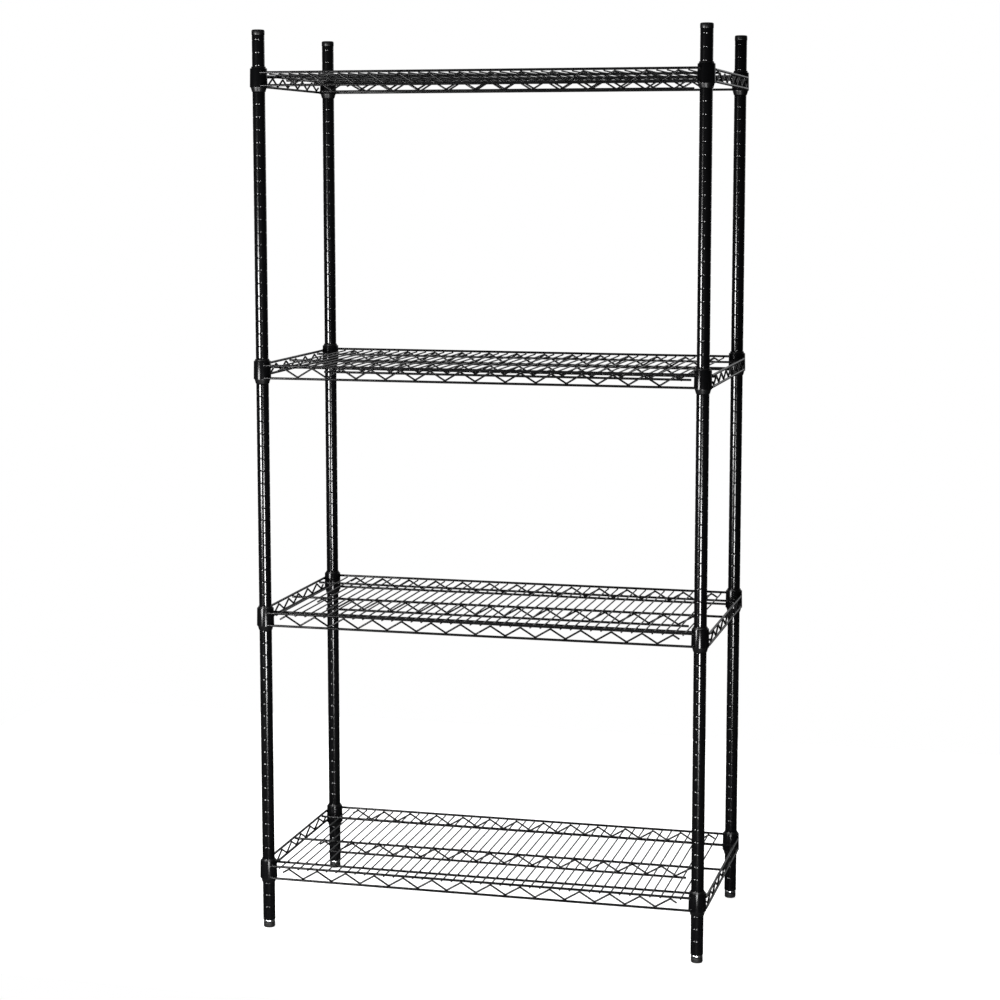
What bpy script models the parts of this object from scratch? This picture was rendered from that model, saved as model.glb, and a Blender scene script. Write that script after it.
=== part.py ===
"""Four-tier wire shelving rack: grooved tube posts, tapered split sleeves,
welded wire shelves with corner collars, post caps and levelling feet.

Metres, +Z up.  The front of the rack faces -Y, the floor is Z = 0 and the
origin is under the middle of the rack.  Every shelf slides up off its
tapered sleeves; every levelling foot screws out of its post.
"""

import math

import bmesh
import bpy
from mathutils import Matrix, Vector

MM = 0.001

# ----------------------------------------------------------- dimensions (mm)
POST_SPACING_X = 902.4  # post centre to post centre, along the front
POST_SPACING_Y = 436.4  # post centre to post centre, front to back
HEIGHT = 1845.0  # floor to cap top

ROUND_SIDES = 12  # every coaxial piece on a post shares this count
GAP = 0.3  # between pieces that touch

POST_R = 12.7
POST_BORE_R = 11.3
POST_BOTTOM_Z = 16.5
GROOVE_PITCH = 25.4
GROOVE_DEPTH = 0.6
GROOVE_HALF = 1.6
GROOVES_EACH_WAY = 0  # further grooves above and below each sleeve's own

CAP_HEAD_H = 10.5
CAP_HEAD_R = 13.1
CAP_PLUG_R = 11.0
CAP_PLUG_H = 22.0

# lower rail centre line of each shelf; the steps are whole groove pitches
LOWEST_RAIL_Z = 109.2
SHELF_STEPS = (0, 21, 41, 64)

RAIL_R = 2.5
RAIL_SIDES = 8
RAIL_OFFSET = 16.2  # rail centre line outside the post axis
RAIL_END = 9.0  # rails end in the collars' walls, this far short of the post axis
TRUSS_H = 25.4  # upper rail above lower rail, front and back
SIDE_TRUSS_H = 22.4  # the same at the two sides
RUNNER_Y = 177.0  # two rails under the deck wires, in front of and behind centre
RUNNER_Z = 17.8  # they are welded to the undersides of the sides' upper rails
RUNNER_R = 2.4
RUNNER_OVERRUN = 1.0  # their ends, outside those rails' centre lines

COLLAR_BOTTOM = -3.0  # all heights below are from the lower rail
COLLAR_TOP = 34.0
COLLAR_R_BOTTOM = 17.8
COLLAR_R_TOP = 17.1

SLEEVE_BOTTOM = -12.6
SLEEVE_FLARE = -3.6
SLEEVE_SHOULDER = 35.5
SLEEVE_TOP = 38.0
SLEEVE_FLARE_R = 16.4
SLEEVE_SHOULDER_R = 14.75
SLEEVE_BORE_R = 13.05
RIDGE_Z = 13.0
RIDGE_R = 12.45
RIDGE_HALF = 2.0
COLLAR_CLEARANCE = 0.35

WIRE_PITCH = 20.54
WIRES = 42
ZIG_PITCH = 3 * WIRE_PITCH
ZIG_HALF = 1.9
ZIG_BELOW = 5.1  # zigzag peaks below the upper rail, centre to centre
ZIG_VALLEY = 1.5
ZIG_STUB = 14.0  # cut ends, past the last peaks of the front and back zigzags
ZIG_TAIL = 13.0  # cut ends, past the last valleys of the side zigzags
PEAKS_LONG = 14
PEAKS_SHORT = 6
SET_IN = 0.1  # bows the openings' corners, so that no three share a line
FRONT_SHIFT = -1.0
BACK_SHIFT = 0.5

WIRE_R = 2.2  # to the edges of the four-sided stand-in for a 3 mm wire
WIRE_Z = 22.06  # deck wires, over the runners and below the front and back rails
WIRE_END = 2.6  # their ends, inside the front and back rails' centre lines

MID_TRUSS_Y = -3.0
MID_TRUSS_Z = 18.4
MID_TRUSS_H = 23.6
MID_SHIFT = 0.0

PAD_R = 12.0
PAD_H = 10.4
PAD_RECESS_R = 5.1
PAD_RECESS_Z = 5.7
STUD_R = 4.7
STUD_BOTTOM = 6.0
STUD_TOP = 46.0
RING_R = 11.9
RING_BOTTOM = 10.7
RING_TOP = 16.2
INSERT_R = 11.0
INSERT_BORE_R = 5.05
INSERT_BOTTOM = 16.7
INSERT_TOP = 42.0

BLACK_COAT = ((0.012, 0.012, 0.013), 0.28, 0.0)
BLACK_PLASTIC = ((0.015, 0.015, 0.016), 0.45, 0.0)
ZINC = ((0.78, 0.79, 0.80), 0.3, 1.0)

# --------------------------------------------------------------- clean start
for old in list(bpy.data.objects):
    bpy.data.objects.remove(old, do_unlink=True)

root = bpy.data.collections.new("wire_shelving_rack")
bpy.context.scene.collection.children.link(root)


# ------------------------------------------------------------------- helpers
def material(name, look):
    colour, roughness, metallic = look
    mat = bpy.data.materials.new(name)
    mat.use_nodes = True
    shader = mat.node_tree.nodes["Principled BSDF"]
    shader.inputs["Base Color"].default_value = (*colour, 1.0)
    shader.inputs["Roughness"].default_value = roughness
    shader.inputs["Metallic"].default_value = metallic
    mat.diffuse_color = (*colour, 1.0)
    return mat


def scratch(name, data):
    obj = bpy.data.objects.new(name, data)
    root.objects.link(obj)
    return obj


def bake(obj, keep=False):
    """The evaluated mesh of obj in world space, welded and facing outward."""
    bpy.context.view_layer.update()
    graph = bpy.context.evaluated_depsgraph_get()
    mesh = bpy.data.meshes.new_from_object(obj.evaluated_get(graph))
    mesh.transform(obj.matrix_world)
    if not keep:
        bpy.data.objects.remove(obj, do_unlink=True)
    bm = bmesh.new()
    bm.from_mesh(mesh)
    bmesh.ops.remove_doubles(bm, verts=bm.verts, dist=1e-6)
    bmesh.ops.recalc_face_normals(bm, faces=bm.faces)
    bm.to_mesh(mesh)
    bm.free()
    return mesh


def turned(name, profile, closed=True):
    """A profile of (radius, height) in mm turned about Z."""
    mesh = bpy.data.meshes.new(name)
    count = len(profile)
    edges = [(i, i + 1) for i in range(count - 1)]
    if closed:
        edges.append((count - 1, 0))
    mesh.from_pydata([(r * MM, 0.0, z * MM) for r, z in profile], edges, [])
    obj = scratch(name, mesh)
    screw = obj.modifiers.new("turn", "SCREW")
    screw.axis = "Z"
    screw.angle = math.tau
    screw.steps = screw.render_steps = ROUND_SIDES
    screw.use_merge_vertices = True
    screw.merge_threshold = 0.00001
    screw.use_smooth_shade = False
    return bake(obj)


def flat(name, outline, holes, thickness):
    """A 2D curve in the XZ plane, thickness mm along Y."""
    curve = bpy.data.curves.new(name, "CURVE")
    curve.dimensions = "2D"
    curve.fill_mode = "BOTH"
    curve.extrude = thickness * MM / 2
    for ring in [outline, *holes]:
        spline = curve.splines.new("POLY")
        spline.points.add(len(ring) - 1)
        for point, (x, y) in zip(spline.points, ring):
            point.co = (x * MM, y * MM, 0.0, 1.0)
        spline.use_cyclic_u = True
    obj = scratch(name, curve)
    obj.matrix_world = Matrix.Rotation(math.pi / 2, 4, "X")
    return bake(obj)


def rod(name, start, end, radius, sides):
    """A straight round bar between two points in mm."""
    a, b = Vector(start) * MM, Vector(end) * MM
    bm = bmesh.new()
    turn = (b - a).to_track_quat("Z", "Y").to_matrix().to_4x4()
    bmesh.ops.create_cone(
        bm,
        cap_ends=True,
        segments=sides,
        radius1=radius * MM,
        radius2=radius * MM,
        depth=(b - a).length,
        matrix=Matrix.Translation((a + b) / 2) @ turn,
    )
    mesh = bpy.data.meshes.new(name)
    bm.to_mesh(mesh)
    bm.free()
    return mesh


def wire(name, points, radius):
    """A four-sided wire through points in mm, as a bevelled POLY curve with
    caps, one flat side up; radius is to its edges."""
    curve = bpy.data.curves.new(name, "CURVE")
    curve.dimensions = "3D"
    curve.twist_mode = "MINIMUM"
    curve.bevel_depth = radius * MM
    curve.bevel_resolution = 0
    curve.use_fill_caps = True
    spline = curve.splines.new("POLY")
    spline.points.add(len(points) - 1)
    for point, place in zip(spline.points, points):
        point.co = (*(Vector(place) * MM), 1.0)
        point.tilt = math.pi / 4
    return bake(scratch(name, curve))


def joined(name, placed):
    """One mesh from (mesh, matrix) pairs that don't touch each other."""
    bm = bmesh.new()
    for mesh, matrix in placed:
        copy = mesh.copy()
        copy.transform(matrix)
        bm.from_mesh(copy)
        bpy.data.meshes.remove(copy)
    mesh = bpy.data.meshes.new(name)
    bm.to_mesh(mesh)
    bm.free()
    return mesh


def united(name, first, others):
    """first with every mesh of others welded on by an exact Boolean."""
    obj = scratch(name, first)
    tools = []
    for i, mesh in enumerate(others):
        tool = scratch(f"{name}_tool_{i}", mesh)
        tool.hide_render = True
        tools.append(tool)
        weld = obj.modifiers.new(f"weld_{i}", "BOOLEAN")
        weld.operation = "UNION"
        weld.solver = "EXACT"
        weld.object = tool
    result = bake(obj)
    for tool in tools:
        bpy.data.objects.remove(tool, do_unlink=True)
    return result


def half_of(name, mesh, side):
    """The part of mesh on one side of the XZ plane, closed at the cut."""
    bm = bmesh.new()
    bm.from_mesh(mesh)
    bmesh.ops.bisect_plane(
        bm,
        geom=[*bm.verts, *bm.edges, *bm.faces],
        plane_co=(0.0, side * GAP / 2 * MM, 0.0),
        plane_no=(0.0, side, 0.0),
        clear_inner=True,
    )
    open_edges = [edge for edge in bm.edges if edge.is_boundary]
    bmesh.ops.holes_fill(bm, edges=open_edges)
    bmesh.ops.recalc_face_normals(bm, faces=bm.faces)
    out = bpy.data.meshes.new(name)
    bm.to_mesh(out)
    bm.free()
    return out


def place(name, mesh, where, look, parent=None):
    """One node: its own copy of the mesh, its own material, at where (mm)."""
    obj = bpy.data.objects.new(name, mesh.copy())
    obj.data.name = name
    obj.data.materials.clear()
    obj.data.materials.append(material("mat_" + name, look))
    root.objects.link(obj)
    obj.location = Vector(where) * MM
    if parent is not None:
        obj.parent = parent
        obj.location = Vector(where) * MM - parent.location
    return obj


def axis_empty(name, where):
    empty = bpy.data.objects.new(name, None)
    empty.empty_display_size = 0.03
    empty.location = Vector(where) * MM
    root.objects.link(empty)
    return empty


HX, HY = POST_SPACING_X / 2, POST_SPACING_Y / 2
POSTS = {
    "FL": (-HX, -HY),
    "FR": (HX, -HY),
    "BL": (-HX, HY),
    "BR": (HX, HY),
}
RAIL_Z = [LOWEST_RAIL_Z + GROOVE_PITCH * step for step in SHELF_STEPS]
TUBE_TOP = HEIGHT - CAP_HEAD_H - GAP


# --------------------------------------------------------------------- posts
def post_profile():
    """Outer wall from top to bottom with its ring grooves, then the bore."""
    grooves = []
    for rail_z in RAIL_Z:
        for step in range(GROOVES_EACH_WAY, -GROOVES_EACH_WAY - 1, -1):
            grooves.append(rail_z + RIDGE_Z + step * GROOVE_PITCH)
    points = [(POST_R, TUBE_TOP)]
    for z in sorted(grooves, reverse=True):
        points += [
            (POST_R, z + GROOVE_HALF),
            (POST_R - GROOVE_DEPTH, z),
            (POST_R, z - GROOVE_HALF),
        ]
    points += [
        (POST_R, POST_BOTTOM_Z),
        (POST_BORE_R, POST_BOTTOM_Z),
        (POST_BORE_R, TUBE_TOP),
    ]
    return points


post_mesh = turned("post_shape", post_profile())
cap_mesh = turned(
    "cap_shape",
    [
        (0.0, HEIGHT),
        (CAP_HEAD_R - 2.2, HEIGHT),
        (CAP_HEAD_R - 0.5, HEIGHT - 0.8),
        (CAP_HEAD_R, HEIGHT - 2.6),
        (CAP_HEAD_R, HEIGHT - CAP_HEAD_H),
        (CAP_PLUG_R, HEIGHT - CAP_HEAD_H),
        (CAP_PLUG_R, HEIGHT - CAP_HEAD_H - CAP_PLUG_H),
        (0.0, HEIGHT - CAP_HEAD_H - CAP_PLUG_H),
    ],
    closed=False,
)
insert_mesh = turned(
    "insert_shape",
    [
        (INSERT_R, INSERT_TOP),
        (INSERT_R, INSERT_BOTTOM),
        (INSERT_BORE_R, INSERT_BOTTOM),
        (INSERT_BORE_R, INSERT_TOP),
    ],
)
stud_mesh = turned(
    "stud_shape",
    [
        (0.0, STUD_TOP),
        (STUD_R, STUD_TOP),
        (STUD_R, RING_TOP),
        (RING_R, RING_TOP),
        (RING_R, RING_BOTTOM),
        (STUD_R, RING_BOTTOM),
        (STUD_R, STUD_BOTTOM),
        (0.0, STUD_BOTTOM),
    ],
    closed=False,
)
pad_mesh = turned(
    "pad_shape",
    [
        (0.0, PAD_RECESS_Z),
        (PAD_RECESS_R, PAD_RECESS_Z),
        (PAD_RECESS_R, PAD_H),
        (PAD_R, PAD_H),
        (PAD_R, 2.2),
        (PAD_R - 1.6, 0.0),
        (0.0, 0.0),
    ],
    closed=False,
)

# ------------------------------------------------------------------- sleeves
sleeve_mesh = turned(
    "sleeve_shape",
    [
        (SLEEVE_BORE_R, SLEEVE_TOP),
        (SLEEVE_SHOULDER_R, SLEEVE_SHOULDER),
        (SLEEVE_FLARE_R, SLEEVE_FLARE),
        (SLEEVE_BORE_R, SLEEVE_BOTTOM),
        (SLEEVE_BORE_R, RIDGE_Z - RIDGE_HALF),
        (RIDGE_R, RIDGE_Z),
        (SLEEVE_BORE_R, RIDGE_Z + RIDGE_HALF),
    ],
)
sleeve_front = half_of("sleeve_front_shape", sleeve_mesh, -1)
sleeve_back = half_of("sleeve_back_shape", sleeve_mesh, 1)


# -------------------------------------------------------------------- collar
def sleeve_radius(z):
    share = (z - SLEEVE_FLARE) / (SLEEVE_SHOULDER - SLEEVE_FLARE)
    return SLEEVE_FLARE_R + share * (SLEEVE_SHOULDER_R - SLEEVE_FLARE_R)


collar_mesh = turned(
    "collar_shape",
    [
        (COLLAR_R_TOP, COLLAR_TOP),
        (COLLAR_R_BOTTOM, COLLAR_BOTTOM),
        (sleeve_radius(COLLAR_BOTTOM) + COLLAR_CLEARANCE, COLLAR_BOTTOM),
        (sleeve_radius(COLLAR_TOP) + COLLAR_CLEARANCE, COLLAR_TOP),
    ],
)


# ------------------------------------------------------------ shelf's trusses
def set_in(x):
    return SET_IN * (1.0 + (x / HX) ** 2)


def edge_truss(name, length, height, peaks, shift, tails=False):
    """Lower rail and zigzag of one side, along X, lower rail at z = 0.

    The zigzag is cut off on its way down from the last peaks or, with tails,
    on its way up again from one more valley at each end.
    """
    peak = height - ZIG_BELOW
    rise = (peak - ZIG_VALLEY) / (ZIG_PITCH / 2)
    thick = ZIG_HALF * math.hypot(1.0, rise)
    top, low = peak + thick, peak - thick
    reach = (low - RAIL_R) / rise
    end = length / 2
    tips = [shift + (i - (peaks - 1) / 2) * ZIG_PITCH for i in range(peaks)]
    dips = [(a + b) / 2 for a, b in zip(tips, tips[1:])]
    if tails:
        last = tips[-1] + ZIG_PITCH / 2
        leave = (RAIL_R - ZIG_VALLEY + thick) / rise
        right = [
            (last + leave, RAIL_R),
            (last + ZIG_TAIL, ZIG_VALLEY - thick + ZIG_TAIL * rise),
            (last + ZIG_TAIL, ZIG_VALLEY + thick + ZIG_TAIL * rise),
            (last, ZIG_VALLEY + thick),
            (tips[-1], top),
        ]
    else:
        right = [
            (tips[-1] - reach, RAIL_R),
            (tips[-1], low),
            (tips[-1] + ZIG_STUB, low - ZIG_STUB * rise),
            (tips[-1] + ZIG_STUB, top - ZIG_STUB * rise),
            (tips[-1], top),
        ]
    left = [(2 * shift - x, z) for x, z in reversed(right)]
    outline = [(-end, -RAIL_R), (end, -RAIL_R), (end, RAIL_R), *right]
    for tip, dip in zip(reversed(tips[1:-1]), reversed(dips[1:])):
        outline += [(dip, ZIG_VALLEY + thick), (tip, top)]
    outline += [(dips[0], ZIG_VALLEY + thick), *left, (-end, RAIL_R)]
    holes = [
        [
            (tip - reach, RAIL_R - set_in(tip - reach)),
            (tip, low),
            (tip + reach, RAIL_R - set_in(tip + reach)),
        ]
        for tip in (tips if tails else tips[1:-1])
    ]
    return flat(name, outline, holes, 2 * RAIL_R * 0.9)


def mid_truss(name):
    """Upper rail, zigzag and lower rail under the deck, upper rail at z = 0."""
    end = HX + RAIL_OFFSET - RAIL_R - GAP
    peak, dip_z = -1.5, 1.5 - MID_TRUSS_H
    rise = (peak - dip_z) / (ZIG_PITCH / 2)
    thick = ZIG_HALF * math.hypot(1.0, rise)
    under, over = -RAIL_R, RAIL_R - MID_TRUSS_H
    top_reach = (peak + thick - under) / rise
    low_reach = (over - (dip_z - thick)) / rise
    tips = [
        MID_SHIFT + (i - (PEAKS_LONG - 1) / 2) * ZIG_PITCH for i in range(PEAKS_LONG)
    ]
    dips = [(a + b) / 2 for a, b in zip(tips, tips[1:])]
    stub, overrun = 12.0, 22.0
    right = [
        (tips[-1] + top_reach, under),
        (tips[-1] + stub, peak + thick - stub * rise),
        (tips[-1] + stub, peak - thick - stub * rise),
        (tips[-1], peak - thick),
        (dips[-1] + low_reach, over),
        (dips[-1] + overrun, over),
        (dips[-1] + overrun, over - 2 * RAIL_R),
    ]
    left = [(2 * MID_SHIFT - x, z) for x, z in reversed(right)]
    outline = [(-end, RAIL_R), (end, RAIL_R), (end, under), *right, *left, (-end, under)]
    holes = []
    for a, b, dip in zip(tips, tips[1:], dips):
        holes.append(
            [
                (a + top_reach, under + set_in(a + top_reach)),
                (b - top_reach, under + set_in(b - top_reach)),
                (dip, dip_z + thick),
            ]
        )
    for a, b, tip in zip(dips, dips[1:], tips[1:]):
        holes.append(
            [
                (a + low_reach, over - set_in(a + low_reach)),
                (tip, peak - thick),
                (b - low_reach, over - set_in(b - low_reach)),
            ]
        )
    return flat(name, outline, holes, 2 * RAIL_R * 0.9)


def shelf_frame():
    """Four collars, four edge trusses and the two runners."""
    collars = joined(
        "collars",
        [
            (collar_mesh, Matrix.Translation((x * MM, y * MM, 0.0)))
            for x, y in POSTS.values()
        ],
    )
    reach_x, reach_y = HX - RAIL_END, HY - RAIL_END
    out_x, out_y = HX + RAIL_OFFSET, HY + RAIL_OFFSET
    quarter = Matrix.Rotation(math.pi / 2, 4, "Z")
    front = edge_truss("front_truss", 2 * reach_x, TRUSS_H, PEAKS_LONG, FRONT_SHIFT)
    back = edge_truss("back_truss", 2 * reach_x, TRUSS_H, PEAKS_LONG, BACK_SHIFT)
    side = edge_truss("side_truss", 2 * reach_y, SIDE_TRUSS_H, PEAKS_SHORT, 0.0, True)
    trusses = joined(
        "trusses",
        [
            (front, Matrix.Translation((0.0, -out_y * MM, 0.0))),
            (back, Matrix.Translation((0.0, out_y * MM, 0.0))),
            (side, Matrix.Translation((-out_x * MM, 0.0, 0.0)) @ quarter),
            (side, Matrix.Translation((out_x * MM, 0.0, 0.0)) @ quarter),
        ],
    )
    long = rod("rail", (-reach_x, 0, TRUSS_H), (reach_x, 0, TRUSS_H), RAIL_R, RAIL_SIDES)
    short = rod(
        "rail", (0, -reach_y, SIDE_TRUSS_H), (0, reach_y, SIDE_TRUSS_H), RAIL_R, RAIL_SIDES
    )
    end = out_x + RUNNER_OVERRUN
    runner = rod("runner", (-end, 0, RUNNER_Z), (end, 0, RUNNER_Z), RUNNER_R, RAIL_SIDES)
    runners = joined(
        "runners",
        [(runner, Matrix.Translation((0.0, s * RUNNER_Y * MM, 0.0))) for s in (-1, 1)],
    )
    rails = joined(
        "rails",
        [(long, Matrix.Translation((0.0, s * out_y * MM, 0.0))) for s in (-1, 1)]
        + [(short, Matrix.Translation((s * out_x * MM, 0.0, 0.0))) for s in (-1, 1)],
    )
    return united("shelf_frame_shape", collars, [trusses, rails, runners])


def shelf_deck():
    """Deck wires welded across the top of the middle truss."""
    reach = HY + RAIL_OFFSET - WIRE_END
    one = wire("deck_wire", [(0, -reach, WIRE_Z), (0, reach, WIRE_Z)], WIRE_R)
    first = FRONT_SHIFT - (WIRES - 1) / 2 * WIRE_PITCH
    row = scratch("deck_row", one)
    row.location = (first * MM, 0.0, 0.0)
    array = row.modifiers.new("pitch", "ARRAY")
    array.count = WIRES
    array.use_relative_offset = False
    array.use_constant_offset = True
    array.constant_offset_displace = (WIRE_PITCH * MM, 0.0, 0.0)
    wires = bake(row)
    beam = mid_truss("mid_truss")
    beam.transform(Matrix.Translation((0.0, MID_TRUSS_Y * MM, MID_TRUSS_Z * MM)))
    return united("shelf_deck_shape", beam, [wires])


frame_mesh = shelf_frame()
deck_mesh = shelf_deck()

# --------------------------------------------------------------------- nodes
for key, (x, y) in POSTS.items():
    place(f"post_{key}", post_mesh, (x, y, 0.0), BLACK_COAT)
    place(f"cap_{key}", cap_mesh, (x, y, 0.0), BLACK_PLASTIC)
    place(f"foot_insert_{key}", insert_mesh, (x, y, 0.0), ZINC)
    axis = axis_empty(f"axis_foot_{key}", (x, y, 0.0))
    place(f"foot_stud_{key}", stud_mesh, (x, y, 0.0), ZINC, axis)
    place(f"foot_pad_{key}", pad_mesh, (x, y, 0.0), BLACK_PLASTIC, axis)

for tier, rail_z in enumerate(RAIL_Z, start=1):
    lift = axis_empty(f"axis_shelf_{tier}", (0.0, 0.0, rail_z))
    place(f"shelf_{tier}_frame", frame_mesh, (0.0, 0.0, rail_z), BLACK_COAT, lift)
    place(f"shelf_{tier}_deck", deck_mesh, (0.0, 0.0, rail_z), BLACK_COAT, lift)
    for key, (x, y) in POSTS.items():
        place(
            f"sleeve_{tier}_{key}_front", sleeve_front, (x, y, rail_z), BLACK_PLASTIC
        )
        place(f"sleeve_{tier}_{key}_back", sleeve_back, (x, y, rail_z), BLACK_PLASTIC)
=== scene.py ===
"""Looks for the wire shelving rack: round welded wires, grooved and coated post
tubes, tapered plastic sleeves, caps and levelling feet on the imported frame."""

import math

import bmesh
import bpy
from mathutils import Matrix, Vector


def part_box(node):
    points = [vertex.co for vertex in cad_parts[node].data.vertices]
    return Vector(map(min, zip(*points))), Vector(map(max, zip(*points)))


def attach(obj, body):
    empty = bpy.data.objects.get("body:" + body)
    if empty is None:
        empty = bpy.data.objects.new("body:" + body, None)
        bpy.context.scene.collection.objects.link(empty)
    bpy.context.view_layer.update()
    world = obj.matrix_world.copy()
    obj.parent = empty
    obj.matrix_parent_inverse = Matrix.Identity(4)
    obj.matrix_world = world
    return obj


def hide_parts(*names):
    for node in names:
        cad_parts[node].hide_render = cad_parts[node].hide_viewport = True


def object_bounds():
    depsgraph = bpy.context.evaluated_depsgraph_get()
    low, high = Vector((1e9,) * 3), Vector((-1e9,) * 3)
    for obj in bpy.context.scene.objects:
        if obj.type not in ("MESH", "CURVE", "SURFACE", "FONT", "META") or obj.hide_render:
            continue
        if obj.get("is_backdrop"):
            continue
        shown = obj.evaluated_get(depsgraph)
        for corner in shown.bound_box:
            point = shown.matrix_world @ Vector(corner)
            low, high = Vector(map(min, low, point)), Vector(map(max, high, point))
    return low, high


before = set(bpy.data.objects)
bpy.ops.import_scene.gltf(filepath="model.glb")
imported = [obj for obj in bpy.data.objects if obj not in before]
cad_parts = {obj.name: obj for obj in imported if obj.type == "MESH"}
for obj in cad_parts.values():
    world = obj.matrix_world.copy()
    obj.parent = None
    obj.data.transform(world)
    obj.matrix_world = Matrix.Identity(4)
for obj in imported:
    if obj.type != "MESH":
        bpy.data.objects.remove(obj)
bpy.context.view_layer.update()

MM = 0.001
KEYS = ("FL", "FR", "BL", "BR")
TIERS = (1, 2, 3, 4)

# ------------------------------------------------- places read from the CAD
POSTS = {}
for key in KEYS:
    low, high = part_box(f"post_{key}")
    POSTS[key] = ((low[0] + high[0]) / 2 / MM, (low[1] + high[1]) / 2 / MM)
TUBE_LOW, TUBE_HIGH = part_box("post_FL")[0][2] / MM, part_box("post_FL")[1][2] / MM
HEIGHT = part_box("cap_FL")[1][2] / MM
HX, HY = POSTS["BR"]
COLLAR_BOTTOM = -3.0
RAIL_Z = {t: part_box(f"shelf_{t}_frame")[0][2] / MM - COLLAR_BOTTOM for t in TIERS}

# ------------------------------------------------------- dimensions in mm
POST_R, BORE_R = 12.7, 11.3
GROOVE_PITCH = 25.4
RAIL_R, WIRE_R, ZIG_R = 2.5, 1.5, 1.9
RAIL_OFFSET, RAIL_END = 16.2, 9.0
TRUSS_H, SIDE_TRUSS_H = 25.4, 22.6
RUNNER_Y, RUNNER_Z = 177.0, 17.8
WIRE_PITCH, WIRES = 20.54, 42
ZIG_PITCH = 3 * WIRE_PITCH
PEAKS_LONG, PEAKS_SHORT = 14, 6
FRONT_SHIFT, BACK_SHIFT = -1.0, 0.5
ZIG_BELOW, ZIG_VALLEY, ZIG_STUB, ZIG_TAIL = 4.1, 2.8, 13.0, 13.0
MID_TRUSS_Y, MID_TRUSS_H, MID_SHIFT = -3.0, 23.1, 0.0
OUT_X, OUT_Y = HX + RAIL_OFFSET, HY + RAIL_OFFSET
DECK_Z = RUNNER_Z + RAIL_R + WIRE_R - 0.1
RIDGE_Z = 13.0


# ---------------------------------------------------------------- materials
class Tree:
    """A few words for building a material's nodes."""

    def __init__(self, name):
        self.mat = bpy.data.materials.new(name)
        self.mat.use_nodes = True
        self.tree = self.mat.node_tree
        self.shader = self.tree.nodes["Principled BSDF"]
        self.where = self.tree.nodes.new("ShaderNodeTexCoord").outputs["Object"]

    def set(self, **values):
        for socket, value in values.items():
            self.shader.inputs[socket.replace("_", " ")].default_value = value
        return self

    def link(self, out, into):
        self.tree.links.new(out, into)

    def stretched(self, scale):
        node = self.tree.nodes.new("ShaderNodeMapping")
        node.inputs["Scale"].default_value = scale
        self.link(self.where, node.inputs["Vector"])
        return node.outputs["Vector"]

    def noise(self, scale, detail=3.0, rough=0.55, vector=None):
        node = self.tree.nodes.new("ShaderNodeTexNoise")
        node.inputs["Scale"].default_value = scale
        node.inputs["Detail"].default_value = detail
        node.inputs["Roughness"].default_value = rough
        self.link(vector or self.where, node.inputs["Vector"])
        return node.outputs["Fac"]

    def span(self, value, low, high, out_low, out_high):
        node = self.tree.nodes.new("ShaderNodeMapRange")
        node.inputs["From Min"].default_value = low
        node.inputs["From Max"].default_value = high
        node.inputs["To Min"].default_value = out_low
        node.inputs["To Max"].default_value = out_high
        self.link(value, node.inputs["Value"])
        return node.outputs["Result"]

    def ramp(self, value, stops):
        node = self.tree.nodes.new("ShaderNodeValToRGB")
        band = node.color_ramp
        while len(band.elements) < len(stops):
            band.elements.new(0.5)
        for element, (place, colour) in zip(band.elements, stops):
            element.position = place
            element.color = (*colour, 1.0)
        self.link(value, node.inputs["Fac"])
        return node.outputs["Color"]

    def mix(self, share, a, b):
        node = self.tree.nodes.new("ShaderNodeMix")
        node.data_type = "RGBA"
        self.link(share, node.inputs["Factor"])
        self.link(a, node.inputs["A"])
        self.link(b, node.inputs["B"])
        return node.outputs["Result"]

    def math(self, kind, a, b):
        node = self.tree.nodes.new("ShaderNodeMath")
        node.operation = kind
        for socket, value in zip(node.inputs, (a, b)):
            if isinstance(value, (int, float)):
                socket.default_value = value
            else:
                self.link(value, socket)
        return node.outputs["Value"]

    def bump(self, height, distance, strength=1.0, under=None):
        node = self.tree.nodes.new("ShaderNodeBump")
        node.inputs["Strength"].default_value = strength
        node.inputs["Distance"].default_value = distance
        self.link(height, node.inputs["Height"])
        if under is not None:
            self.link(under, node.inputs["Normal"])
        return node.outputs["Normal"]

    def colour(self, out):
        self.link(out, self.shader.inputs["Base Color"])
        return self

    def rough(self, out):
        self.link(out, self.shader.inputs["Roughness"])
        return self

    def normal(self, out):
        self.link(out, self.shader.inputs["Normal"])
        return self


def coat_material(name, dark, light, gloss, peel, dust, shine=0.4):
    """Black epoxy powder coat: orange peel, cloudy gloss, fine rubs and dust."""
    t = Tree(name)
    cloud = t.noise(9.0, 4.0)
    fleck = t.noise(420.0, 2.0)
    base = t.ramp(cloud, [(0.3, dark), (0.72, light)])
    grain = t.ramp(fleck, [(0.35, dark), (0.8, tuple(1.6 * c for c in light))])
    share = t.span(t.noise(60.0, 3.0), 0.45, 0.75, 0.0, 0.5)
    tone = t.mix(share, base, grain)
    rubs = t.noise(1.0, 5.0, 0.7, t.stretched((260.0, 260.0, 14.0)))
    rub = t.span(rubs, 0.62, 0.74, 0.0, dust)
    pale = t.ramp(fleck, [(0.0, (0.05, 0.05, 0.052)), (1.0, (0.085, 0.084, 0.082))])
    t.colour(t.mix(rub, tone, pale))
    low, high = gloss
    t.rough(t.span(t.noise(28.0, 4.0), 0.3, 0.75, low, high))
    skin = t.noise(520.0, 2.0)
    wide = t.noise(90.0, 2.0)
    first = t.bump(wide, peel * 3.0 * MM, 0.5)
    t.normal(t.bump(skin, peel * MM, 0.6, first))
    t.set(Specular_IOR_Level=shine)
    return t.mat


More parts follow.
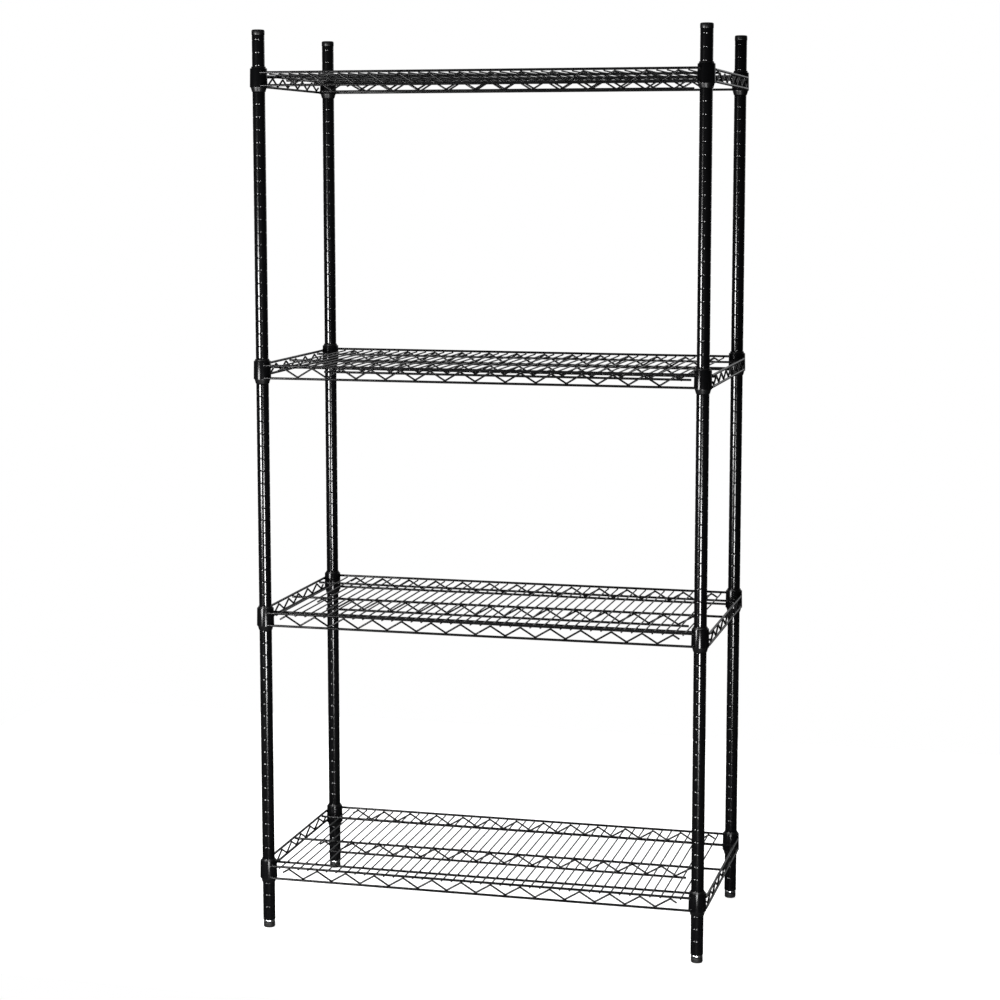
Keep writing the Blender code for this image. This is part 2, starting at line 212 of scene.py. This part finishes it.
def plastic_material(name, dark, light, low, high):
    """Black moulded plastic with a fine spark-eroded grain and faint flow."""
    t = Tree(name)
    flow = t.noise(1.0, 3.0, 0.5, t.stretched((30.0, 30.0, 110.0)))
    fleck = t.noise(700.0, 2.0)
    base = t.ramp(flow, [(0.3, dark), (0.75, light)])
    spot = t.ramp(fleck, [(0.3, dark), (0.85, tuple(1.5 * c for c in light))])
    t.colour(t.mix(t.span(fleck, 0.4, 0.8, 0.0, 0.6), base, spot))
    t.rough(t.span(t.noise(55.0, 3.0), 0.3, 0.7, low, high))
    grain = t.noise(1400.0, 2.0)
    t.normal(t.bump(grain, 0.05 * MM, 0.55))
    t.set(Specular_IOR_Level=0.3)
    return t.mat


def zinc_material(name):
    """Bright zinc plate: faint turning marks, a cool cast and small spangle."""
    t = Tree(name)
    turn = t.noise(1.0, 4.0, 0.6, t.stretched((40.0, 40.0, 2600.0)))
    patch = t.noise(160.0, 3.0)
    base = t.ramp(
        patch, [(0.25, (0.66, 0.68, 0.70)), (0.6, (0.82, 0.83, 0.84)), (0.85, (0.9, 0.9, 0.88))]
    )
    line = t.ramp(turn, [(0.35, (0.58, 0.59, 0.6)), (0.7, (0.86, 0.86, 0.86))])
    t.colour(t.mix(t.span(turn, 0.4, 0.7, 0.15, 0.45), base, line))
    t.rough(t.span(patch, 0.25, 0.8, 0.22, 0.4))
    t.normal(t.bump(turn, 0.03 * MM, 0.5))
    t.set(Metallic=1.0)
    return t.mat


COAT_POST = coat_material(
    "coat_post", (0.0012, 0.0012, 0.0014), (0.0028, 0.0028, 0.0031), (0.14, 0.19), 0.004, 0.05
)
COAT_COLLAR = coat_material(
    "coat_collar", (0.0012, 0.0012, 0.0014), (0.003, 0.003, 0.0033), (0.15, 0.22), 0.008, 0.08, 0.2
)
COAT_RAIL = coat_material(
    "coat_rail", (0.0013, 0.0013, 0.0015), (0.0032, 0.0032, 0.0035), (0.2, 0.3), 0.01, 0.1, 0.22
)
COAT_WIRE = coat_material(
    "coat_wire", (0.0014, 0.0014, 0.0016), (0.0034, 0.0034, 0.0037), (0.22, 0.32), 0.01, 0.1, 0.2
)
COAT_WELD = coat_material(
    "coat_weld", (0.0016, 0.0016, 0.0018), (0.0042, 0.0042, 0.0045), (0.26, 0.4), 0.04, 0.18
)
SLEEVE_PLASTIC = plastic_material(
    "sleeve_plastic", (0.0018, 0.0018, 0.002), (0.0045, 0.0045, 0.0048), 0.32, 0.44
)
CAP_PLASTIC = plastic_material(
    "cap_plastic", (0.0018, 0.0018, 0.002), (0.0045, 0.0045, 0.0048), 0.3, 0.42
)
PAD_PLASTIC = plastic_material(
    "pad_plastic", (0.0045, 0.0045, 0.0047), (0.0105, 0.0104, 0.0102), 0.44, 0.62
)
ZINC = zinc_material("zinc_plate")


# ------------------------------------------------------------ mesh builders
def mesh_of(name, points, faces, smooth=True):
    mesh = bpy.data.meshes.new(name)
    mesh.from_pydata([tuple(c * MM for c in p) for p in points], [], faces)
    bm = bmesh.new()
    bm.from_mesh(mesh)
    bmesh.ops.recalc_face_normals(bm, faces=bm.faces)
    bm.to_mesh(mesh)
    bm.free()
    for polygon in mesh.polygons:
        polygon.use_smooth = smooth
    if smooth:
        mesh.set_sharp_from_angle(angle=math.radians(38))
    return mesh


def rounded(points, radius, steps=4, loop=False):
    """A polyline with every inner corner replaced by an arc."""
    corners = [Vector(p) for p in points]
    count = len(corners)
    out = []
    for i, here in enumerate(corners):
        if not loop and i in (0, count - 1):
            out.append(here)
            continue
        a = (corners[i - 1] - here).normalized()
        b = (corners[(i + 1) % count] - here).normalized()
        angle = a.angle(b, math.pi)
        if angle > math.radians(176):
            out.append(here)
            continue
        reach = radius / math.tan(angle / 2)
        limit = 0.45 * min(
            (corners[i - 1] - here).length, (corners[(i + 1) % count] - here).length
        )
        reach = min(reach, limit)
        size = reach * math.tan(angle / 2)
        middle = here + (a + b).normalized() * (size / math.sin(angle / 2))
        start, end = here + a * reach - middle, here + b * reach - middle
        turn = start.angle(end)
        for k in range(steps + 1):
            f = k / steps
            mixed = (
                start * math.sin((1 - f) * turn) + end * math.sin(f * turn)
            ) / math.sin(turn)
            out.append(middle + mixed)
    return out


def lathe(name, profile, sides, loop=True, arc=None, at=(0.0, 0.0)):
    """Turns (radius, height) points round Z. arc=(start, end) in degrees makes
    a part turn with flat ends; radius 0 is one point on the axis."""
    points, faces, rings = [], [], []
    full = arc is None
    start, end = (0.0, math.tau) if full else map(math.radians, arc)
    count = sides if full else sides + 1
    for radius, height in profile:
        if radius < 1e-6:
            rings.append([len(points)] * count)
            points.append((at[0], at[1], height))
            continue
        ring = []
        for k in range(count):
            a = start + (end - start) * k / sides
            ring.append(len(points))
            points.append(
                (at[0] + radius * math.cos(a), at[1] + radius * math.sin(a), height)
            )
        rings.append(ring)
    pairs = list(zip(rings, rings[1:]))
    if loop:
        pairs.append((rings[-1], rings[0]))
    for a, b in pairs:
        for k in range(sides):
            n = (k + 1) % count
            face = []
            for v in (a[k], a[n], b[n], b[k]):
                if v not in face:
                    face.append(v)
            if len(face) > 2:
                faces.append(face)
    if not full:
        faces.append([ring[0] for ring in rings])
        faces.append([ring[-1] for ring in rings][::-1])
    return points, faces


def sweep(path, radius, sides, turn=0.0):
    """A round bar along a path, with a small chamfer at both cut ends."""
    path = [Vector(p) for p in path]
    ways = []
    for i, here in enumerate(path):
        before = (here - path[i - 1]).normalized() if i else None
        after = (path[i + 1] - here).normalized() if i < len(path) - 1 else None
        ways.append(((before or after) + (after or before)).normalized())
    side = ways[0].orthogonal().normalized()
    points, faces, rings = [], [], []

    def ring(centre, way, size):
        other = way.cross(side).normalized()
        made = []
        for k in range(sides):
            a = turn + math.tau * k / sides
            made.append(len(points))
            points.append(centre + side * (size * math.cos(a)) + other * (size * math.sin(a)))
        rings.append(made)

    edge = 0.22 * radius
    first, last = path[0], path[-1]
    ring(first, ways[0], radius - edge)
    for i, (here, way) in enumerate(zip(path, ways)):
        side = (side - way * side.dot(way)).normalized()
        size = radius
        if 0 < i < len(path) - 1:
            bend = (path[i + 1] - here).angle(here - path[i - 1], 0.0)
            size = radius / max(0.6, math.cos(bend / 2)) if bend > 0.3 else radius
        if i == 0:
            here = here + way * edge
        if i == len(path) - 1:
            here = here - way * edge
        ring(here, way, size)
    ring(last, ways[-1], radius - edge)
    for a, b in zip(rings, rings[1:]):
        for k in range(sides):
            n = (k + 1) % sides
            faces.append([a[k], a[n], b[n], b[k]])
    faces.append(rings[0][::-1])
    faces.append(list(rings[-1]))
    return points, faces


def bead(centre, size, axis, seed):
    """A small weld nugget: a squashed, slightly lumpy ball."""
    points, faces = [], []
    rows, cols = 4, 7
    along = Vector(axis).normalized()
    one = along.orthogonal().normalized()
    two = along.cross(one)
    for r in range(rows + 1):
        polar = math.pi * r / rows
        if r in (0, rows):
            points.append(Vector(centre) + along * (size[0] * math.cos(polar)))
            continue
        for c in range(cols):
            a = math.tau * c / cols + 0.4 * r
            lump = 1.0 + 0.12 * math.sin(seed * 1.7 + 2.3 * c + 1.1 * r)
            points.append(
                Vector(centre)
                + along * (size[0] * math.cos(polar))
                + (one * math.cos(a) + two * math.sin(a))
                * (size[1] * math.sin(polar) * lump)
            )
    last = len(points) - 1
    for c in range(cols):
        n = (c + 1) % cols
        faces.append([0, 1 + c, 1 + n])
        for r in range(rows - 2):
            a, b = 1 + r * cols, 1 + (r + 1) * cols
            faces.append([a + c, b + c, b + n, a + n])
        a = 1 + (rows - 2) * cols
        faces.append([a + n, a + c, last])
    return points, faces


class Lot:
    """Gathers shells into one mesh."""

    def __init__(self):
        self.points, self.faces = [], []

    def add(self, shell, shift=(0.0, 0.0, 0.0), turn=None):
        points, faces = shell
        base = len(self.points)
        move = Vector(shift)
        for p in points:
            q = Vector(p)
            if turn is not None:
                q = turn @ q
            self.points.append(q + move)
        self.faces += [[base + v for v in face] for face in faces]

    def mesh(self, name):
        return mesh_of(name, self.points, self.faces)


def piece(name, mesh, mat, body, nodes=(), at=(0.0, 0.0, 0.0)):
    obj = bpy.data.objects.new(name, mesh)
    bpy.context.scene.collection.objects.link(obj)
    obj.location = Vector(at) * MM
    if not mesh.materials:
        mesh.materials.append(mat)
    if nodes:
        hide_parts(*nodes)
    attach(obj, body)
    return obj


# -------------------------------------------------------------------- posts
def post_profile():
    outer = [(POST_R - 0.35, TUBE_HIGH), (POST_R, TUBE_HIGH - 0.4)]
    ridge = RAIL_Z[1] + RIDGE_Z
    low = math.ceil((TUBE_LOW + 6.0 - ridge) / GROOVE_PITCH)
    high = math.floor((TUBE_HIGH - 6.0 - ridge) / GROOVE_PITCH)
    for step in range(high, low - 1, -1):
        z = ridge + step * GROOVE_PITCH
        outer += [
            (POST_R, z + 2.0),
            (POST_R, z + 1.15),
            (POST_R - 0.4, z + 0.5),
            (POST_R - 0.48, z),
            (POST_R - 0.4, z - 0.5),
            (POST_R, z - 1.15),
            (POST_R, z - 2.0),
        ]
    outer += [(POST_R, TUBE_LOW + 0.4), (POST_R - 0.35, TUBE_LOW)]
    return outer + [(BORE_R, TUBE_LOW), (BORE_R, TUBE_HIGH)]


post_mesh = mesh_of("post_tube", *lathe("post", post_profile(), 36))
cap_base = TUBE_HIGH + 0.3
cap_mesh = mesh_of(
    "post_cap",
    *lathe(
        "cap",
        [
            (0.0, HEIGHT - 0.5),
            (6.6, HEIGHT - 0.5),
            (7.2, HEIGHT - 0.15),
            (7.8, HEIGHT),
            (9.8, HEIGHT),
            (11.3, HEIGHT - 0.25),
            (12.3, HEIGHT - 0.9),
            (12.9, HEIGHT - 1.9),
            (13.1, HEIGHT - 3.2),
            (13.1, cap_base + 0.5),
            (12.8, cap_base),
            (11.0, cap_base),
            (11.0, cap_base - 4.0),
            (10.7, cap_base - 4.6),
            (11.0, cap_base - 5.2),
            (11.0, cap_base - 12.0),
            (10.7, cap_base - 12.6),
            (11.0, cap_base - 13.2),
            (10.6, cap_base - 21.9),
            (0.0, cap_base - 21.9),
        ],
        40,
        loop=False,
    ),
)

RING_LOW = 10.7


def stud_profile():
    top, ring_top = 46.0, 16.2
    out = [(0.0, top), (3.7, top), (4.5, top - 0.9)]
    z = top - 1.4
    while z - 1.5 > ring_top + 1.0:
        out += [(4.68, z), (4.68, z - 0.2), (4.05, z - 0.75), (4.05, z - 0.95)]
        z -= 1.5
    out += [
        (4.6, ring_top),
        (10.6, ring_top),
        (11.5, ring_top - 0.35),
        (11.9, ring_top - 1.1),
        (11.9, RING_LOW + 0.9),
        (11.4, RING_LOW + 0.25),
        (10.8, RING_LOW),
        (4.6, RING_LOW),
        (4.6, 6.1),
        (0.0, 6.1),
    ]
    return out


stud_mesh = mesh_of("levelling_stud", *lathe("stud", stud_profile(), 36, loop=False))
pad_mesh = mesh_of(
    "levelling_pad",
    *lathe(
        "pad",
        [
            (0.0, 5.8),
            (5.1, 5.8),
            (5.1, 10.4),
            (10.9, 10.4),
            (11.7, 10.1),
            (12.0, 9.3),
            (12.0, 7.0),
            (11.75, 6.7),
            (11.75, 6.3),
            (12.0, 6.0),
            (12.0, 2.9),
            (11.7, 1.6),
            (11.0, 0.6),
            (10.1, 0.1),
            (9.4, 0.0),
            (0.0, 0.0),
        ],
        40,
        loop=False,
    ),
)

# ------------------------------------------------------------------ sleeves
SLEEVE = [
    (13.05, 38.0),
    (13.7, 37.85),
    (14.2, 37.2),
    (14.6, 35.6),
    (16.05, 1.0),
    (16.25, -2.6),
    (16.1, -3.9),
    (15.6, -5.2),
    (13.9, -11.2),
    (13.5, -12.3),
    (13.05, -12.6),
    (13.05, RIDGE_Z - 2.0),
    (12.6, RIDGE_Z - 0.8),
    (12.5, RIDGE_Z),
    (12.6, RIDGE_Z + 0.8),
    (13.05, RIDGE_Z + 2.0),
]
sleeve_meshes = {
    "front": mesh_of("sleeve_front", *lathe("s", SLEEVE, 24, arc=(180.7, 359.3))),
    "back": mesh_of("sleeve_back", *lathe("s", SLEEVE, 24, arc=(0.7, 179.3))),
}

for key, (x, y) in POSTS.items():
    at = (x, y, 0.0)
    piece(f"post_tube_{key}", post_mesh, COAT_POST, "uprights", [f"post_{key}"], at)
    piece(f"post_cap_{key}", cap_mesh, CAP_PLASTIC, "uprights", [f"cap_{key}"], at)
    foot = f"foot_{key}"
    piece(f"levelling_stud_{key}", stud_mesh, ZINC, foot, [f"foot_stud_{key}"], at)
    piece(f"levelling_pad_{key}", pad_mesh, PAD_PLASTIC, foot, [f"foot_pad_{key}"], at)
    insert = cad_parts[f"foot_insert_{key}"]
    insert.data.materials.clear()
    insert.data.materials.append(ZINC)
    for tier in TIERS:
        for side, mesh in sleeve_meshes.items():
            piece(
                f"taper_sleeve_{tier}_{key}_{side}",
                mesh,
                SLEEVE_PLASTIC,
                "uprights",
                [f"sleeve_{tier}_{key}_{side}"],
                (x, y, RAIL_Z[tier]),
            )


# ------------------------------------------------------------------ shelves
COLLAR = [
    (16.5, 34.0),
    (17.0, 33.7),
    (17.15, 33.1),
    (17.78, -2.0),
    (17.8, -2.6),
    (17.5, -3.0),
    (16.75, -3.0),
    (16.45, -2.5),
    (15.25, 33.2),
    (15.6, 33.9),
]


def collars():
    lot = Lot()
    shell = lathe("collar", COLLAR, 44)
    for x, y in POSTS.values():
        lot.add(shell, (x, y, 0.0))
    return lot.mesh("corner_collars")


def straight(a, b, radius=RAIL_R, sides=14):
    return sweep([a, b], radius, sides)


def edge_rails():
    """The upper and lower rails on four sides and the two runners under the
    deck wires, welded beneath the sides' upper rails."""
    lot = Lot()
    reach_x, reach_y = HX - RAIL_END, HY - RAIL_END
    for s in (-1, 1):
        for z in (0.0, TRUSS_H):
            lot.add(straight((-reach_x, s * OUT_Y, z), (reach_x, s * OUT_Y, z)))
        for z in (0.0, SIDE_TRUSS_H):
            lot.add(straight((s * OUT_X, -reach_y, z), (s * OUT_X, reach_y, z)))
        y, end = s * RUNNER_Y, OUT_X + 1.2
        lot.add(straight((-end, y, RUNNER_Z), (end, y, RUNNER_Z), 2.4))
    return lot.mesh("edge_rails")


def zigzag(tips, height, tails=False):
    """Bent wire in the XZ plane through the tips, cut off mid-slope: on the way
    down from the last tips or, with tails, up from one more valley each end."""
    half = ZIG_PITCH / 2
    peak = height - ZIG_BELOW
    rise = (peak - ZIG_VALLEY) / half
    path = []
    for tip in tips:
        path += [(tip - half, 0.0, ZIG_VALLEY), (tip, 0.0, peak)]
    path.append((tips[-1] + half, 0.0, ZIG_VALLEY))
    if tails:
        z = ZIG_VALLEY + ZIG_TAIL * rise
        path.insert(0, (tips[0] - half - ZIG_TAIL, 0.0, z))
        path.append((tips[-1] + half + ZIG_TAIL, 0.0, z))
    else:
        z = peak - ZIG_STUB * rise
        path[0] = (tips[0] - ZIG_STUB, 0.0, z)
        path[-1] = (tips[-1] + ZIG_STUB, 0.0, z)
    return sweep(rounded(path, 4.0, 4), ZIG_R, 10)


def tips_of(count, shift):
    return [shift + (i - (count - 1) / 2) * ZIG_PITCH for i in range(count)]


def edge_zigzags():
    lot = Lot()
    front = zigzag(tips_of(PEAKS_LONG, FRONT_SHIFT), TRUSS_H)
    back = zigzag(tips_of(PEAKS_LONG, BACK_SHIFT), TRUSS_H)
    end = zigzag(tips_of(PEAKS_SHORT, 0.0), SIDE_TRUSS_H, tails=True)
    quarter = Matrix.Rotation(math.pi / 2, 3, "Z")
    lot.add(front, (0.0, -OUT_Y + 1.2, 0.0))
    lot.add(back, (0.0, OUT_Y - 1.2, 0.0))
    lot.add(end, (-OUT_X + 0.6, 0.0, 0.0), quarter)
    lot.add(end, (OUT_X - 0.6, 0.0, 0.0), quarter)
    return lot.mesh("edge_zigzags")


def wire_places():
    first = FRONT_SHIFT - (WIRES - 1) / 2 * WIRE_PITCH
    return [first + i * WIRE_PITCH for i in range(WIRES)]


def deck_wires():
    """Front-to-back wires over the runners and the middle truss; their cut ends
    are welded beneath the front and back rails."""
    lot = Lot()
    for i, x in enumerate(wire_places()):
        sway = 0.25 * math.sin(i * 2.1)
        front = -OUT_Y - 0.4 * math.sin(i * 1.3)
        back = OUT_Y + 0.4 * math.sin(i * 1.7)
        path = [
            (x + sway, front, DECK_Z),
            (x + 0.5 * sway, -0.5 * OUT_Y, DECK_Z - 0.1),
            (x, 0.0, DECK_Z),
            (x - 0.5 * sway, 0.5 * OUT_Y, DECK_Z - 0.1),
            (x - sway, back, DECK_Z),
        ]
        lot.add(sweep(path, WIRE_R, 10))
    return lot.mesh("deck_wires")


def mid_truss():
    lot = Lot()
    tips = tips_of(PEAKS_LONG, MID_SHIFT)
    half = ZIG_PITCH / 2
    end = OUT_X + 1.2
    low = RUNNER_Z - MID_TRUSS_H
    lot.add(straight((-end, 0.0, RUNNER_Z), (end, 0.0, RUNNER_Z)))
    lot.add(straight((tips[0] + half - 22.0, 0.0, low), (tips[-1] - half + 22.0, 0.0, low)))
    top, bottom = RUNNER_Z - 2.6, low + 2.6
    rise = (top - bottom) / half
    path = [(tips[0] - 12.0, 0.0, top - 12.0 * rise)]
    for tip in tips[:-1]:
        path += [(tip, 0.0, top), (tip + half, 0.0, bottom)]
    path += [(tips[-1], 0.0, top), (tips[-1] + 12.0, 0.0, top - 12.0 * rise)]
    lot.add(sweep(rounded(path, 4.0, 4), ZIG_R, 10), (0.0, 1.2, 0.0))
    return lot.mesh("mid_truss")


def welds():
    """Nuggets where deck wires cross rails, zigzags meet rails and rails meet collars."""
    lot = Lot()
    n = 0
    for x in wire_places():
        for y in (-RUNNER_Y, MID_TRUSS_Y, RUNNER_Y):
            n += 1
            lot.add(bead((x, y, RUNNER_Z + RAIL_R - 0.2), (2.3, 2.0), (0, 1, 0), n))
        for y in (-OUT_Y + 0.9, OUT_Y - 0.9):
            n += 1
            lot.add(bead((x, y, TRUSS_H - RAIL_R), (1.9, 1.9), (0, 1, 0), n))
    for s in (-1, 1):
        for y in (-RUNNER_Y, MID_TRUSS_Y, RUNNER_Y):
            n += 1
            lot.add(bead((s * OUT_X, y, RUNNER_Z + RAIL_R - 0.1), (2.4, 2.2), (1, 0, 0), n))
    for s, shift in ((-1, FRONT_SHIFT), (1, BACK_SHIFT)):
        tips = tips_of(PEAKS_LONG, shift)
        for tip in tips[:-1]:
            n += 1
            at = (tip + ZIG_PITCH / 2, s * (OUT_Y - 1.0), RAIL_R - 0.3)
            lot.add(bead(at, (3.4, 1.5), (1, 0, 0), n))
    for s in (-1, 1):
        for dip in range(-PEAKS_SHORT // 2, PEAKS_SHORT // 2 + 1):
            n += 1
            at = (s * (OUT_X - 0.5), dip * ZIG_PITCH, RAIL_R - 0.3)
            lot.add(bead(at, (3.4, 1.5), (0, 1, 0), n))
    low = RUNNER_Z - MID_TRUSS_H
    for tip in tips_of(PEAKS_LONG, MID_SHIFT):
        n += 1
        lot.add(bead((tip, MID_TRUSS_Y + 0.8, RUNNER_Z - 2.4), (3.2, 1.5), (1, 0, 0), n))
    for tip in tips_of(PEAKS_LONG - 1, MID_SHIFT):
        n += 1
        lot.add(bead((tip, MID_TRUSS_Y + 0.8, low + 2.4), (3.2, 1.5), (1, 0, 0), n))
    for x, y in POSTS.values():
        sx, sy = math.copysign(1, x), math.copysign(1, y)
        for upper in (0, 1):
            long, short = upper * TRUSS_H, upper * SIDE_TRUSS_H
            for up in (2.0, -2.0):
                n += 1
                lot.add(bead((x - sx * 10.4, y + sy * 15.2, long + up), (3.6, 1.3), (1, 0, 0), n))
                lot.add(bead((x + sx * 15.2, y - sy * 10.4, short + up), (3.6, 1.3), (0, 1, 0), n))
            n += 1
            lot.add(bead((x - sx * 9.0, y + sy * 16.0, long), (1.3, 2.1), (1, 0, 0), n))
            lot.add(bead((x + sx * 16.0, y - sy * 9.0, short), (1.3, 2.1), (0, 1, 0), n))
    return lot.mesh("weld_nuggets")


collar_mesh, rail_mesh, zig_mesh = collars(), edge_rails(), edge_zigzags()
wire_mesh, mid_mesh, weld_mesh = deck_wires(), mid_truss(), welds()
for tier in TIERS:
    body, z = f"shelf_{tier}", RAIL_Z[tier]
    ring, deck = [f"shelf_{tier}_frame"], [f"shelf_{tier}_deck"]
    at = (0.0, 0.0, z)
    piece(f"corner_collars_{tier}", collar_mesh, COAT_COLLAR, body, ring, at)
    piece(f"edge_rails_{tier}", rail_mesh, COAT_RAIL, body, ring, at)
    piece(f"edge_zigzags_{tier}", zig_mesh, COAT_WIRE, body, ring, at)
    piece(f"deck_wires_{tier}", wire_mesh, COAT_WIRE, body, deck, at)
    piece(
        f"mid_truss_{tier}", mid_mesh, COAT_RAIL, body, deck, (0.0, MID_TRUSS_Y, z)
    )
    piece(f"weld_nuggets_{tier}", weld_mesh, COAT_WELD, body, (), at)


# ---------------------------------------------------------- floor and studio
def floor():
    """A sheet of near-white board, lit softly from within, reaching further
    behind the rack than in front of it."""
    xs = [-1800.0 + 300.0 * i for i in range(13)]
    ys = [-620.0 + 160.0 * i for i in range(15)]
    points = [(x, y, 0.0) for y in ys for x in xs]
    row = len(xs)
    faces = [
        [j * row + i, j * row + i + 1, (j + 1) * row + i + 1, (j + 1) * row + i]
        for j in range(len(ys) - 1)
        for i in range(row - 1)
    ]
    obj = bpy.data.objects.new("studio_floor", mesh_of("studio_floor", points, faces, False))
    bpy.context.scene.collection.objects.link(obj)
    obj.location.z = -0.0004
    t = Tree("studio_floor_paint")
    cloud = t.noise(0.6, 2.0)
    t.colour(t.ramp(cloud, [(0.2, (0.86, 0.86, 0.86)), (0.8, (0.89, 0.89, 0.89))]))
    t.rough(t.span(cloud, 0.2, 0.8, 0.85, 0.95))
    t.set(Specular_IOR_Level=0.1, Emission_Color=(1.0, 1.0, 1.0, 1.0), Emission_Strength=0.6)
    obj.data.materials.append(t.mat)
    obj.visible_glossy = False
    obj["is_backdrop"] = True


floor()


def backdrop():
    """A white sweep behind the rack and overhead, a dark room in front of it;
    seen directly it is plain white."""
    world = bpy.data.worlds.new("studio")
    bpy.context.scene.world = world
    world.use_nodes = True
    tree = world.node_tree
    tree.nodes.clear()
    add = tree.nodes.new
    out = add("ShaderNodeOutputWorld")
    blend = add("ShaderNodeMixShader")
    rays = add("ShaderNodeLightPath")
    fill = add("ShaderNodeBackground")
    seen = add("ShaderNodeBackground")
    way = add("ShaderNodeTexCoord")
    split = add("ShaderNodeSeparateXYZ")
    behind = add("ShaderNodeMapRange")
    above = add("ShaderNodeMapRange")
    most = add("ShaderNodeMath")
    fill.inputs["Color"].default_value = (0.98, 0.99, 1.0, 1.0)
    seen.inputs["Color"].default_value = (1.0, 1.0, 1.0, 1.0)
    seen.inputs["Strength"].default_value = 1.0
    for node, low, high, dim, bright in (
        (behind, 0.55, 0.93, 0.012, 0.65),
        (above, 0.5, 0.95, 0.012, 0.12),
    ):
        node.interpolation_type = "SMOOTHSTEP"
        node.inputs["From Min"].default_value = low
        node.inputs["From Max"].default_value = high
        node.inputs["To Min"].default_value = dim
        node.inputs["To Max"].default_value = bright
    below = add("ShaderNodeMapRange")
    below.interpolation_type = "SMOOTHSTEP"
    below.inputs["From Min"].default_value = -0.06
    below.inputs["From Max"].default_value = 0.04
    below.inputs["To Min"].default_value = 0.05
    below.inputs["To Max"].default_value = 1.0
    both = add("ShaderNodeMath")
    both.operation = "MULTIPLY"
    most.operation = "MAXIMUM"
    tree.links.new(way.outputs["Generated"], split.inputs["Vector"])
    tree.links.new(split.outputs["Y"], behind.inputs["Value"])
    tree.links.new(split.outputs["Z"], above.inputs["Value"])
    tree.links.new(split.outputs["Z"], below.inputs["Value"])
    tree.links.new(behind.outputs["Result"], both.inputs[0])
    tree.links.new(below.outputs["Result"], both.inputs[1])
    tree.links.new(both.outputs["Value"], most.inputs[0])
    tree.links.new(above.outputs["Result"], most.inputs[1])
    tree.links.new(most.outputs["Value"], fill.inputs["Strength"])
    tree.links.new(rays.outputs["Is Camera Ray"], blend.inputs["Fac"])
    tree.links.new(fill.outputs["Background"], blend.inputs[1])
    tree.links.new(seen.outputs["Background"], blend.inputs[2])
    tree.links.new(blend.outputs["Shader"], out.inputs["Surface"])


backdrop()


def softbox(name, place, aim, size, power, mirrored=True):
    light = bpy.data.lights.new(name, "AREA")
    light.shape = "RECTANGLE"
    light.size, light.size_y = size
    light.energy = power
    obj = bpy.data.objects.new(name, light)
    bpy.context.scene.collection.objects.link(obj)
    obj.location = place
    way = Vector(aim) - Vector(place)
    obj.rotation_euler = way.to_track_quat("-Z", "Y").to_euler()
    obj.visible_camera = False
    obj.visible_glossy = mirrored
    return obj


softbox("strip_left", (-1.45, -2.2, 0.95), (0.0, 0.0, 0.95), (0.6, 0.72), 95.0)
softbox("strip_low", (0.6, -2.65, 0.25), (0.0, 0.0, 0.25), (0.55, 0.66), 78.0)
softbox("top", (0.0, 0.6, 4.6), (0.0, 0.3, 0.0), (5.0, 5.0), 200.0, False)

bpy.context.scene.view_settings.view_transform = "Standard"

# ------------------------------------------------------------------- camera
camera = bpy.data.cameras.new("camera")
camera.sensor_width = 36.0
camera.lens = 84.237
camera.shift_y = -0.03
camera.clip_start, camera.clip_end = 0.05, 100.0
camera_object = bpy.data.objects.new("camera", camera)
bpy.context.scene.collection.objects.link(camera_object)
camera_object.location = (1.1854, -4.6841, 1.5653)
camera_object.rotation_euler = (math.radians(90.0 - 7.2758), 0.0, math.radians(14.3119))
bpy.context.scene.camera = camera_object

bpy.context.view_layer.update()
low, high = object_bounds()
